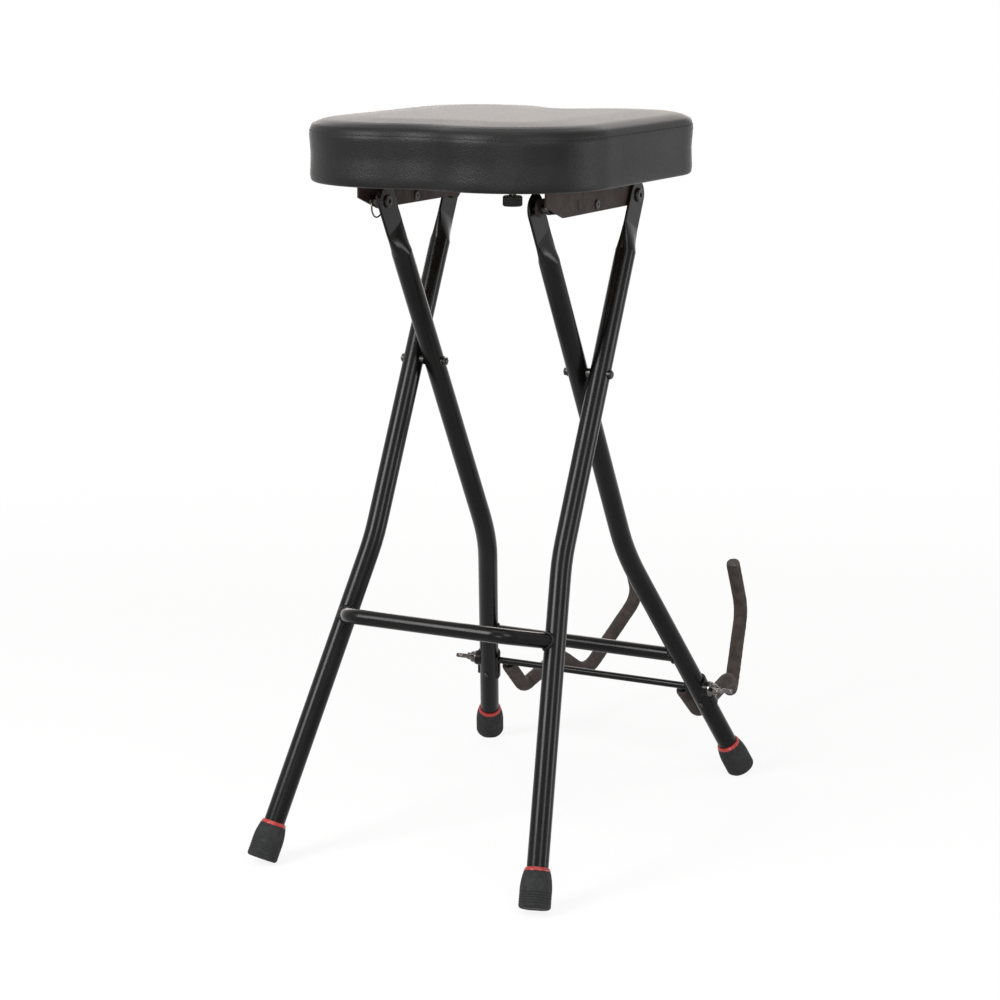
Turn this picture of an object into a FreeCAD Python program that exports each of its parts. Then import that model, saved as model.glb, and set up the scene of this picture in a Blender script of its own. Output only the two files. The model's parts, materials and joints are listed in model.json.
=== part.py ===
import FreeCAD, Part
import math
import os

# A folding stool with a padded seat, a footrest and a fold-out guitar cradle.
# Millimetres, +Z up, the floor at z = 0, the front of the stool towards -Y.
# Everything is built with the scissor axis at y = 0, and the whole stool is centred in Y at the end.

V = FreeCAD.Vector

# Tubes
leg_diameter = 22.0
leg_wall = 1.5
bar_diameter = 16.0
bar_wall = 1.5

# Leg frames: reaches are measured along a frame from the scissor axis, climbs along it from the floor,
# and gauges from the middle plane
scissor_height = 503.0
front_lean = 26.0
rear_lean = 29.4
front_gauge = 111.0
scissor_gap = 3.4
front_foot_gauge = 160.0
rear_foot_gauge = 166.0
front_bend_reach = 200.0
rear_bend_reach = 251.0
leg_bend_radius = 260.0
seat_hinge_rise = 179.0

# Pressed leg tops
flat_width = 33.0
flat_thickness = 3.0
flat_length = 33.0
crush_length = 30.0
flat_side_turn = 110.0

# Rubber feet
foot_height = 37.0
foot_top_diameter = 28.0
foot_diameter = 32.5
foot_swell = 0.6
foot_floor = 5.0
foot_round = 3.0
foot_shoulder_round = 1.8
foot_flat = 1.0
foot_groove_count = 5
foot_groove_pitch = 2.6
foot_groove_width = 1.0
foot_groove_depth = 0.4
foot_ring_diameter = 26.8
foot_ring_top_diameter = 24.2
foot_ring_height = 3.6

# Scissor and hinge fasteners
scissor_bolt_diameter = 5.0
scissor_head_diameter = 9.5
scissor_head_height = 2.8
saddle_washer_diameter = 10.5
saddle_washer_height = 0.5
scissor_nut_width = 8.0
scissor_nut_height = 3.2
hinge_bolt_diameter = 8.0
hinge_head_diameter = 15.0
hinge_head_height = 3.0
hinge_washer_diameter = 18.0
hinge_washer_height = 1.0
hinge_nut_width = 13.0
hinge_nut_height = 4.0
bolt_end = 1.0

# Clearances, and a length past everything for cutting shapes
running_clearance = 0.05
push_fit_clearance = 0.1
side_clearance = 0.2
hook_clearance = 0.35
cut_room = 1000.0

# Footrest and rear crossbar
footrest_climb = 273.6
footrest_rise = 15.0
footrest_corner_gauge = 89.0
footrest_standoff = 54.0
footrest_bend_radius = 26.0
crossbar_climb = 177.4

# Seat cushion
seat_half_width = 165.0
seat_front_reach = 198.0
seat_length = 377.0
seat_thickness = 66.0
lip_inset = 4.0
lip_rise = 5.0
lip_bulge_inset = 0.8
waist_rise = 28.0
waist_inset = 1.8
seam_drop = 14.0
welt_drop = 7.5
welt_inset = 3.5
crown_edge_drop = 2.6
crown_edge_inset = 15.0
crown_inset = 60.0
rear_lobe_radius = 87.0
front_corner_radius = 105.0
neck_notch_depth = 34.0
front_dip_depth = 9.0
cover_thickness = 1.5
cover_lip_width = 22.0
board_thickness = 12.0
board_rise = 23.3

# Seat brackets and latch plates
bracket_sheet = 2.2
bracket_front_overhang = 20.7
bracket_chamfer_length = 39.0
bracket_front_edge_rise = 4.1
bracket_drop = 9.9
bracket_end_radius = 13.0
bracket_flange = 22.0
bracket_bend_radius = 2.0
bracket_screw_diameter = 4.0
bracket_screw_head_diameter = 9.0
bracket_screw_head_height = 2.4
bracket_screw_length = 10.0
bracket_screw_count = 3
bracket_screw_front_margin = 10.0
bracket_screw_rear_margin = 26.0
latch_sheet = 2.4
latch_drop = 7.5
latch_rise = 10.0
latch_front_overhang = 10.0
latch_rear_overhang = 12.0
latch_hook_length = 19.0
latch_step_length = 22.0
latch_corner = 4.5
latch_tab_width = 3.1
latch_tab_height = 10.0
latch_tab_from_stud = 52.3
latch_tab_proud = 0.6
latch_rivet_from_stud = 95.3
latch_rivet_diameter = 6.0
latch_rivet_head_diameter = 10.5
latch_rivet_head_height = 1.8
latch_rivet_drop = 2.5
latch_rivet_bore_diameter = 2.5
latch_rivet_bore_depth = 0.8
hook_front_wall_angle = 33.0
hook_rear_wall_angle = 52.0

# Hook studs and the keeper ring
stud_diameter = 8.0
stud_shoulder_diameter = 12.0
stud_shoulder_length = 2.8
stud_head_diameter = 14.0
stud_head_height = 2.4
stud_flange_diameter = 11.0
stud_flange_height = 2.0
stud_ring_space = 8.0
eyelet_bore_diameter = 5.0
eyelet_bore_depth = 1.6
ring_diameter = 22.0
ring_wire_diameter = 1.8
ring_clearance = 0.1

# Bumper under the seat
bumper_from_scissor = 16.0
bumper_diameter = 21.0
bumper_height = 11.0
bumper_drop = 11.0
bumper_chamfer = 1.2
bumper_stud_diameter = 8.0
bumper_stud_grip = 6.0
bumper_stud_in_board = 8.0

# Guitar cradle: corner points of an arm lie rearwards, upwards and outwards of its root on the rod
rod_climb = 129.8
rod_diameter = 8.0
rod_end_proud = 5.0
arm_diameter = 8.0
sleeve_diameter = 16.0
sleeve_from_rod = 9.0
sleeve_end_round = 3.0
arm_root_gap = 1.0
arm_heel = (50.0, -43.0, 2.0)
arm_heel_radius = 20.0
arm_crest = (144.0, -27.0, 0.5)
arm_crest_radius = 30.0
arm_dip = (187.0, -59.0, -14.5)
arm_dip_radius = 28.0
arm_bend = (283.0, 22.0, -41.0)
arm_bend_radius = 24.0
arm_tip = (252.0, 86.0, -41.0)

# Saddles that carry the rod on the rear legs
saddle_wall = 2.5
saddle_above_rod = 10.0
saddle_below_rod = 26.0
saddle_wrap = 4.0
saddle_boss_diameter = 18.0
saddle_face_proud = 3.3
saddle_spot_diameter = 21.0
saddle_rivet_from_rod = 17.0
saddle_rivet_diameter = 4.0
saddle_rivet_head_diameter = 7.0
saddle_rivet_head_height = 1.5

# Wing nuts
wing_nut_base_diameter = 17.0
wing_nut_top_diameter = 13.5
wing_nut_base_height = 8.5
wing_nut_flange_height = 2.0
wing_nut_top_round = 2.0
wing_span = 42.0
wing_reach = 21.0
wing_tip_diameter = 12.0
wing_root_width = 9.0
wing_root_rise = 4.0
wing_root_offset = 4.2
wing_thickness = 5.0
wing_edge_round = 1.6
wing_turn = -15.0

# Worked-out places
front_down = V(0, -math.sin(math.radians(front_lean)), -math.cos(math.radians(front_lean)))
rear_down = V(0, math.sin(math.radians(rear_lean)), -math.cos(math.radians(rear_lean)))
scissor_point = V(0, 0, scissor_height)
sideways = V(1, 0, 0)
upwards = V(0, 0, 1)
behind_rear_legs = V(0, -rear_down.z, rear_down.y)
quarter = math.sqrt(0.5)
leg_radius = leg_diameter / 2
rear_gauge = front_gauge - leg_diameter - scissor_gap
hinge_height = scissor_height + seat_hinge_rise
front_top_reach = seat_hinge_rise / math.cos(math.radians(front_lean))
rear_top_reach = seat_hinge_rise / math.cos(math.radians(rear_lean))
hinge_point = scissor_point - front_down * front_top_reach
stud_point = scissor_point - rear_down * rear_top_reach
board_base = hinge_height + board_rise
lip_base = board_base - cover_thickness
seat_top = lip_base + seat_thickness
bracket_outer = front_gauge - flat_thickness / 2 - hinge_washer_height - side_clearance
bracket_inner = bracket_outer - bracket_sheet
hook_outer = rear_gauge + flat_thickness / 2 + stud_shoulder_length + 2 * side_clearance + latch_sheet


# Shape helpers

def cylinder(start, end, diameter):
    axis = end - start
    return Part.makeCylinder(diameter / 2, axis.Length, start, axis)


def across(point, x_start, x_end, diameter):
    """A round bar along X through a point of the side view."""
    return cylinder(V(x_start, point.y, point.z), V(x_end, point.y, point.z), diameter)


def face_of(steps, place):
    """A flat face from an outline: points are lines, and (middle, end) pairs are arcs."""
    edges = []
    here = place(*steps[0])
    for step in steps[1:]:
        if isinstance(step[0], tuple):
            middle = place(*step[0])
            end = place(*step[1])
            edges.append(Part.Arc(here, middle, end).toShape())
        else:
            end = place(*step)
            edges.append(Part.makeLine(here, end))
        here = end
    edges.append(Part.makeLine(here, place(*steps[0])))
    return Part.Face(Part.Wire(edges))


def turned(steps, origin, axis):
    """A solid of revolution from an outline of (distance along the axis, radius) steps."""
    profile = face_of(steps, lambda along, radius: V(radius, 0, along))
    solid = profile.revolve(V(0, 0, 0), upwards, 360)
    solid.Placement = FreeCAD.Placement(origin, FreeCAD.Rotation(upwards, axis))
    return solid


def side_plate(steps, x_start, x_end):
    """A plate with a side-view outline of (y, z) steps."""
    face = face_of(steps, lambda y, z: V(x_start, y, z))
    return face.extrude(V(x_end - x_start, 0, 0))


def hexagon(point, x_start, x_end, width_across_flats):
    corner = width_across_flats / math.sqrt(3)
    angles = [math.radians(60 * k) for k in range(6)]
    points = [(point.y + corner * math.cos(a), point.z + corner * math.sin(a)) for a in angles]
    return side_plate(points, x_start, x_end)


def bent_path(points, radii):
    """Straight runs through the points, joined by tangent arcs at the inner points."""
    edges = []
    here = points[0]
    for before, corner, after, radius in zip(points, points[1:], points[2:], radii):
        into = (corner - before).normalize()
        out = (after - corner).normalize()
        half_turn = into.getAngle(out) / 2
        setback = radius * math.tan(half_turn)
        start = corner - into * setback
        end = corner + out * setback
        inwards = (out - into).normalize()
        middle = corner + inwards * (radius / math.cos(half_turn) - radius)
        edges.append(Part.makeLine(here, start))
        edges.append(Part.Arc(start, middle, end).toShape())
        here = end
    edges.append(Part.makeLine(here, points[-1]))
    return Part.Wire(edges)


def bent_bar(points, radii, diameter):
    path = bent_path(points, radii)
    ring = Part.Wire(Part.makeCircle(diameter / 2, points[0], points[1] - points[0]))
    return path.makePipeShell([ring], True, False)


def mirrored(shape):
    return shape.mirror(V(0, 0, 0), sideways)


def both_sides(shape):
    return Part.makeCompound([mirrored(shape), shape])


def round_head(height, diameter, bore_diameter=0.0, bore_depth=0.0):
    """Steps of a bevelled head that stands from 0 to its height, with a blind bore in its top."""
    radius = diameter / 2
    bevel = height / 2
    bore = bore_diameter / 2
    steps = [(0, 0), (0, radius), (height - bevel, radius), (height, radius - bevel)]
    if bore_diameter:
        return steps + [(height, bore), (height - bore_depth, bore), (height - bore_depth, 0)]
    return steps + [(height, 0)]


class Leg:
    """A right-hand leg: the line of its axis and its solid, with the top pressed flat."""

    def __init__(self, down, gauge, foot_gauge, bend_reach, top_reach):
        self.down = down
        self.gauge = gauge
        self.bend_reach = bend_reach
        self.floor_reach = -scissor_height / down.z
        self.spread = (foot_gauge - gauge) / (self.floor_reach - bend_reach)
        self.foot_down = (down + sideways * self.spread).normalize()
        self.bend = self.at(bend_reach)
        tilt = math.acos(-self.foot_down.z)
        rim_rise = (foot_diameter / 2 - foot_round) * math.sin(tilt) + foot_round * (1 - math.cos(tilt))
        end_height = rim_rise - foot_flat
        self.foot_end = self.bend + self.foot_down * ((end_height - self.bend.z) / self.foot_down.z)
        self.tube_end = self.foot_end - self.foot_down * foot_floor
        self.top = self.at(-top_reach)
        self.crease = self.at(flat_length - top_reach)
        self.shoulder = self.at(flat_length + crush_length - top_reach)
        self.outer = self.bar(leg_diameter).fuse(self.pressed_top()).removeSplitter()

    def at(self, reach):
        """The axis point at a reach from the scissor axis, along the frame."""
        x = self.gauge + max(0.0, reach - self.bend_reach) * self.spread
        point = scissor_point + self.down * reach
        return V(x, point.y, point.z)

    def up_at(self, climb):
        """The axis point at a climb from the floor, along the frame."""
        return self.at(self.floor_reach - climb)

    def bar(self, diameter):
        return bent_bar([self.shoulder, self.bend, self.tube_end], [leg_bend_radius], diameter)

    def pressed_top(self):
        """The crushed run from round to flat, and the flat with its round end."""
        width_way = self.down.cross(sideways)
        half_thick = flat_thickness / 2
        half_flat = flat_width / 2 - half_thick

        def flat_point(thick, wide):
            return self.crease + sideways * thick + width_way * wide

        def round_point(degrees):
            angle = math.radians(degrees)
            return self.shoulder + (sideways * math.cos(angle) + width_way * math.sin(angle)) * leg_radius

        flat_ring = Part.Wire([
            Part.makeLine(flat_point(half_thick, -half_flat), flat_point(half_thick, half_flat)),
            Part.Arc(flat_point(half_thick, half_flat), flat_point(0, flat_width / 2),
                     flat_point(-half_thick, half_flat)).toShape(),
            Part.makeLine(flat_point(-half_thick, half_flat), flat_point(-half_thick, -half_flat)),
            Part.Arc(flat_point(-half_thick, -half_flat), flat_point(0, -flat_width / 2),
                     flat_point(half_thick, -half_flat)).toShape()])
        side = flat_side_turn / 2
        stretches = [(-side, 0, side), (side, 90, 180 - side), (180 - side, 180, 180 + side),
                     (180 + side, 270, 360 - side)]
        round_ring = Part.Wire([Part.Arc(round_point(a), round_point(b), round_point(c)).toShape()
                                for a, b, c in stretches])
        crush = Part.makeLoft([round_ring, flat_ring], True, True)
        blade = Part.Face(flat_ring).extrude(self.top - self.crease)
        rim_steps = [(half_thick, 0), (half_thick, half_flat),
                     ((0, flat_width / 2), (-half_thick, half_flat)), (-half_thick, 0)]
        rim = face_of(rim_steps, lambda thick, wide: self.top + sideways * thick + width_way * wide)
        end = rim.revolve(self.top, sideways, -180)
        return crush.fuse([blade, end]).removeSplitter()

    def solid(self):
        return self.outer.cut(self.bar(leg_diameter - 2 * leg_wall))


front_leg = Leg(front_down, front_gauge, front_foot_gauge, front_bend_reach, front_top_reach)
rear_leg = Leg(rear_down, rear_gauge, rear_foot_gauge, rear_bend_reach, rear_top_reach)
rod_point = rear_leg.up_at(rod_climb)
saddle_face = rod_point.x + leg_radius + saddle_face_proud
arm_root_gauge = rod_point.x - leg_radius - saddle_wall - arm_root_gap - sleeve_diameter / 2
arm_root = V(arm_root_gauge, rod_point.y, rod_point.z)
saddle_rivet_point = rod_point + rear_leg.foot_down * saddle_rivet_from_rod
nodes = {}


def make_pair(name, right_shape):
    nodes[name + "_left"] = mirrored(right_shape)
    nodes[name + "_right"] = right_shape


# Front and rear legs

def make_legs():
    scissor_hole = scissor_bolt_diameter + 2 * running_clearance
    rod_hole = rod_diameter + 2 * running_clearance
    front = front_leg.solid()
    front = front.cut(across(scissor_point, 0, cut_room, scissor_hole))
    front = front.cut(across(hinge_point, 0, cut_room, hinge_bolt_diameter))
    make_pair("front_leg", front)
    rear = rear_leg.solid()
    rear = rear.cut(across(scissor_point, 0, cut_room, scissor_hole))
    rear = rear.cut(across(stud_point, 0, cut_room, stud_diameter))
    rear = rear.cut(across(rod_point, 0, cut_room, rod_hole))
    rivet_reach = behind_rear_legs * leg_diameter
    rivet_start = saddle_rivet_point - rivet_reach
    rear = rear.cut(cylinder(rivet_start, saddle_rivet_point + rivet_reach, saddle_rivet_diameter))
    make_pair("rear_leg", rear)


# Footrest in front of the front legs, and the crossbar between the rear legs

def make_bars():
    forwards = V(0, -math.cos(math.radians(footrest_rise)), math.sin(math.radians(footrest_rise)))
    root = front_leg.up_at(footrest_climb)
    corner = V(footrest_corner_gauge, root.y, root.z) + forwards * footrest_standoff
    points = [root, corner, V(-corner.x, corner.y, corner.z), V(-root.x, root.y, root.z)]
    radii = [footrest_bend_radius, footrest_bend_radius]
    footrest = bent_bar(points, radii, bar_diameter)
    inside = bent_bar(points, radii, bar_diameter - 2 * bar_wall)
    nodes["footrest_bar"] = footrest.cut([inside, front_leg.outer, mirrored(front_leg.outer)])
    end = rear_leg.up_at(crossbar_climb)
    crossbar = across(end, -end.x, end.x, bar_diameter)
    inside = across(end, -end.x, end.x, bar_diameter - 2 * bar_wall)
    nodes["rear_crossbar"] = crossbar.cut([inside, rear_leg.outer, mirrored(rear_leg.outer)])


# Rubber feet with their red rings

def foot_outline():
    """Half outline of a rubber cap, from its floor face upwards."""
    base = foot_diameter / 2
    top = foot_top_diameter / 2
    bore = leg_radius + push_fit_clearance
    inner_round = foot_round * (1 - quarter)
    steps = [(0, 0), (0, base - foot_round), ((inner_round, base - inner_round), (foot_round, base))]
    for groove in range(foot_groove_count):
        low = foot_round + foot_groove_pitch * (groove + 1) - foot_groove_width
        steps += [(low, base), (low + foot_groove_width / 2, base - foot_groove_depth),
                  (low + foot_groove_width, base)]
    shoulder = foot_height - foot_shoulder_round
    side_start = foot_round + foot_groove_pitch * (foot_groove_count + 0.5)
    side_middle = ((side_start + shoulder) / 2, (base + top) / 2 + foot_swell)
    inner_shoulder = foot_shoulder_round * (1 - quarter)
    shoulder_middle = (foot_height - inner_shoulder, top - inner_shoulder)
    return steps + [(side_start, base), (side_middle, (shoulder, top)),
                    (shoulder_middle, (foot_height, top - foot_shoulder_round)),
                    (foot_height, bore), (foot_floor, bore), (foot_floor, 0)]


def make_feet():
    floor_cut = Part.makeBox(cut_room, cut_room, cut_room, V(-cut_room / 2, -cut_room / 2, -cut_room))
    ring_outer = foot_ring_diameter / 2
    ring_top_outer = foot_ring_top_diameter / 2
    ring_top = foot_height + foot_ring_height
    ring_edge = foot_ring_height / 3
    ring_bore = leg_radius + push_fit_clearance
    ring_steps = [(foot_height, ring_bore), (foot_height, ring_outer), (foot_height + ring_edge, ring_outer),
                  (ring_top, ring_top_outer), (ring_top, ring_bore)]
    for name, leg in (("front_foot", front_leg), ("rear_foot", rear_leg)):
        up = leg.foot_down * -1
        make_pair(name, turned(foot_outline(), leg.foot_end, up).cut(floor_cut))
        nodes[name + "_rings"] = both_sides(turned(ring_steps, leg.foot_end, up))


# Scissor pivot: bolt heads outside the front legs, nuts inside the rear legs

def make_scissor_fasteners():
    hole = scissor_bolt_diameter + 2 * running_clearance
    head_seat = front_gauge + leg_radius + saddle_washer_height
    nut_seat = rear_gauge - leg_radius - saddle_washer_height - side_clearance
    bolt_tip = nut_seat - scissor_nut_height - bolt_end
    head = turned(round_head(scissor_head_height, scissor_head_diameter),
                  V(head_seat, 0, scissor_height), sideways)
    shank = across(scissor_point, bolt_tip, head_seat, scissor_bolt_diameter)
    nodes["scissor_bolts"] = both_sides(head.fuse(shank))
    nut = hexagon(scissor_point, nut_seat - scissor_nut_height, nut_seat, scissor_nut_width)
    nodes["scissor_nuts"] = both_sides(nut.cut(shank))
    bore = across(scissor_point, 0, head_seat, hole)
    head_washer = across(scissor_point, front_gauge, head_seat, saddle_washer_diameter)
    nodes["scissor_head_washers"] = both_sides(head_washer.cut([front_leg.outer, bore]))
    spacer_start = rear_gauge + leg_radius + side_clearance
    spacer = across(scissor_point, spacer_start, front_gauge, saddle_washer_diameter)
    nodes["scissor_spacers"] = both_sides(spacer.cut([front_leg.outer, bore]))
    nut_washer = across(scissor_point, nut_seat + side_clearance, rear_gauge, saddle_washer_diameter)
    nodes["scissor_nut_washers"] = both_sides(nut_washer.cut([rear_leg.outer, bore]))


# Seat hinge at the tops of the front legs

def make_hinge_fasteners():
    head_seat = front_gauge + flat_thickness / 2
    nut_seat = bracket_inner - side_clearance
    bolt_tip = nut_seat - hinge_nut_height - bolt_end
    steps = round_head(hinge_head_height, hinge_head_diameter, eyelet_bore_diameter, eyelet_bore_depth)
    head = turned(steps, V(head_seat, hinge_point.y, hinge_point.z), sideways)
    shank = across(hinge_point, bolt_tip, head_seat, hinge_bolt_diameter)
    nodes["seat_hinge_bolts"] = both_sides(head.fuse(shank))
    nut = hexagon(hinge_point, nut_seat - hinge_nut_height, nut_seat, hinge_nut_width)
    nodes["seat_hinge_nuts"] = both_sides(nut.cut(shank))
    washer_seat = front_gauge - flat_thickness / 2
    washer = across(hinge_point, washer_seat - hinge_washer_height, washer_seat, hinge_washer_diameter)
    nodes["seat_hinge_washers"] = both_sides(washer.cut(shank))


# Studs on the rear legs and the ring that hangs on the left one

def make_studs():
    inner_face = rear_gauge - flat_thickness / 2
    outer_face = rear_gauge + flat_thickness / 2
    shoulder_end = outer_face + stud_shoulder_length
    flange_start = hook_outer + side_clearance + stud_ring_space
    steps = round_head(stud_head_height, stud_head_diameter, eyelet_bore_diameter, eyelet_bore_depth)
    head = turned(steps, V(inner_face, stud_point.y, stud_point.z), sideways * -1)
    shank = across(stud_point, inner_face, flange_start, stud_diameter)
    shoulder = across(stud_point, outer_face, shoulder_end, stud_shoulder_diameter)
    flange = across(stud_point, flange_start, flange_start + stud_flange_height, stud_flange_diameter)
    nodes["hook_studs"] = both_sides(head.fuse([shank, shoulder, flange]).removeSplitter())
    ring_x = hook_outer + side_clearance + stud_ring_space / 2
    drop = (ring_diameter - ring_wire_diameter - stud_diameter) / 2 - ring_clearance
    centre = V(ring_x, stud_point.y, stud_point.z - drop)
    wire = ring_wire_diameter / 2
    corners = [math.radians(45 * k + 22.5) for k in range(8)]
    section = [(wire * math.sin(a), ring_diameter / 2 + wire * math.cos(a)) for a in corners]
    nodes["keeper_ring"] = mirrored(turned(section, centre, sideways))


# Seat cushion: board, foam and cover share one outline, drawn with tangent arcs

def seat_outline(height, inset):
    """The seat's closed outline at a height, moved inwards by an inset."""
    lobe = V(seat_half_width - rear_lobe_radius, seat_length - seat_front_reach - rear_lobe_radius, height)
    corner = V(seat_half_width - front_corner_radius, front_corner_radius - seat_front_reach, height)
    notch_run = rear_lobe_radius - neck_notch_depth
    notch_radius = (lobe.x ** 2 + notch_run ** 2 - rear_lobe_radius ** 2) / (2 * neck_notch_depth)
    notch = V(0, lobe.y + notch_run + notch_radius, height)
    dip_run = front_corner_radius - front_dip_depth
    dip_radius = (corner.x ** 2 + dip_run ** 2 - front_corner_radius ** 2) / (2 * front_dip_depth)
    dip = V(0, corner.y - dip_run - dip_radius, height)

    def arc(centre, radius, start_way, end_way):
        start = centre + V(start_way).normalize() * radius
        end = centre + V(end_way).normalize() * radius
        middle = centre + (V(start_way).normalize() + V(end_way).normalize()).normalize() * radius
        return Part.Arc(start, middle, end).toShape()

    def flipped(vector):
        return V(-vector.x, vector.y, vector.z)

    lobe_radius = rear_lobe_radius - inset
    corner_radius = front_corner_radius - inset
    to_notch = notch - lobe
    to_dip = dip - corner
    right_front = V(seat_half_width - inset, corner.y, height)
    right_rear = V(seat_half_width - inset, lobe.y, height)
    return Part.Wire([
        Part.makeLine(right_front, right_rear),
        arc(lobe, lobe_radius, sideways, to_notch),
        arc(notch, notch_radius + inset, to_notch * -1, flipped(to_notch * -1)),
        arc(flipped(lobe), lobe_radius, flipped(to_notch), sideways * -1),
        Part.makeLine(flipped(right_rear), flipped(right_front)),
        arc(flipped(corner), corner_radius, sideways * -1, flipped(to_dip)),
        arc(dip, dip_radius + inset, flipped(to_dip * -1), to_dip * -1),
        arc(corner, corner_radius, to_dip, sideways)])


def cushion_form(skin, bottom):
    """The cushion's body with a skin's thickness taken off: (height above the lip, inset) sections."""
    sections = [(0.0, lip_inset), (lip_rise, lip_bulge_inset), (waist_rise, waist_inset),
                (seat_thickness - seam_drop, 0.0), (seat_thickness - welt_drop, welt_inset),
                (seat_thickness - crown_edge_drop, crown_edge_inset), (seat_thickness, crown_inset)]
    squeeze = (seat_thickness - skin) / seat_thickness
    wires = [seat_outline(lip_base + height * squeeze, inset + skin) for height, inset in sections]
    body = Part.makeLoft(wires, True, True)
    room = Part.makeBox(cut_room, cut_room, cut_room, V(-cut_room / 2, -cut_room / 2, bottom))
    return body.common(room)


def make_cushion():
    outer = cushion_form(0.0, lip_base)
    hollow = cushion_form(cover_thickness, board_base)
    inner = cushion_form(cover_thickness + push_fit_clearance, board_base)
    split = board_base + board_thickness
    below = Part.makeBox(cut_room, cut_room, split, V(-cut_room / 2, -cut_room / 2, 0))
    board = inner.common(below)
    nodes["seat_foam"] = inner.cut(below)
    opening = Part.Face(seat_outline(lip_base, cover_lip_width)).extrude(upwards * cover_thickness)
    nodes["seat_cover"] = outer.cut([hollow, opening])
    holes = []
    for y in bracket_screw_places():
        for x in (screw_gauge(), -screw_gauge()):
            hole_end = V(x, y, board_base + bracket_screw_length - bracket_sheet)
            holes.append(cylinder(V(x, y, board_base), hole_end, bracket_screw_diameter))
    stud_end = V(0, bumper_from_scissor, board_base + bumper_stud_in_board)
    holes.append(cylinder(V(0, bumper_from_scissor, board_base), stud_end, bumper_stud_diameter))
    nodes["seat_board"] = board.cut(holes)


# Seat brackets: bent sheet with a flange screwed to the board

def screw_gauge():
    return bracket_inner - bracket_flange / 2


def bracket_screw_places():
    start = stud_point.y + bracket_screw_front_margin
    end = hinge_point.y - bracket_screw_rear_margin
    gap = (end - start) / (bracket_screw_count - 1)
    return [start + gap * k for k in range(bracket_screw_count)]


def make_brackets():
    front = stud_point.y - bracket_front_overhang
    low = hinge_height - bracket_drop
    end = bracket_end_radius
    lean = end * quarter
    profile = side_plate([
        (front, board_base), (front, hinge_height + bracket_front_edge_rise),
        (front + bracket_chamfer_length, low), (hinge_point.y - math.sqrt(end ** 2 - bracket_drop ** 2), low),
        ((hinge_point.y + lean, hinge_height - lean), (hinge_point.y + lean, hinge_height + lean)),
        (hinge_point.y - lean, board_base)], 0, cut_room)
    bend = bracket_bend_radius
    skin_bend = bend + bracket_sheet
    corner = bend * (1 - quarter)
    skin_corner = skin_bend * (1 - quarter)
    flange_low = board_base - bracket_sheet
    angle = face_of([
        (bracket_outer, low - end), (bracket_outer, board_base - skin_bend),
        ((bracket_outer - skin_corner, board_base - skin_corner), (bracket_outer - skin_bend, board_base)),
        (bracket_inner - bracket_flange, board_base), (bracket_inner - bracket_flange, flange_low),
        (bracket_inner - bend, flange_low),
        ((bracket_inner - corner, flange_low - corner), (bracket_inner, flange_low - bend)),
        (bracket_inner, low - end)], lambda x, z: V(x, front, z))
    sheet = angle.extrude(V(0, hinge_point.y + end - front, 0)).common(profile)
    cuts = [across(hinge_point, 0, cut_room, hinge_bolt_diameter + 2 * running_clearance)]
    cuts.append(latch_tab(side_clearance, latch_tab_proud))
    cuts.append(across(latch_rivet_point(), 0, cut_room, latch_rivet_diameter))
    screws = []
    for y in bracket_screw_places():
        seat = V(screw_gauge(), y, flange_low)
        steps = round_head(bracket_screw_head_height, bracket_screw_head_diameter)
        shank = cylinder(seat, seat + upwards * bracket_screw_length, bracket_screw_diameter)
        screws.append(turned(steps, seat, upwards * -1).fuse(shank))
        cuts.append(shank)
    make_pair("seat_bracket", sheet.cut(cuts))
    nodes["bracket_screws"] = Part.makeCompound(screws + [mirrored(screw) for screw in screws])


# Latch plates: stepped sheet riveted inside the brackets, with a hook over each stud

def latch_rivet_point():
    return V(0, stud_point.y + latch_rivet_from_stud, hinge_height - latch_rivet_drop)


def latch_tab(clearance, proud):
    width = latch_tab_width + 2 * clearance
    height = latch_tab_height + 2 * clearance
    y = stud_point.y + latch_tab_from_stud - width / 2
    reach = latch_sheet / 2 + bracket_sheet + proud
    corner = V(bracket_inner - latch_sheet / 2, y, hinge_height - height / 2)
    return Part.makeBox(reach, width, height, corner)


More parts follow.
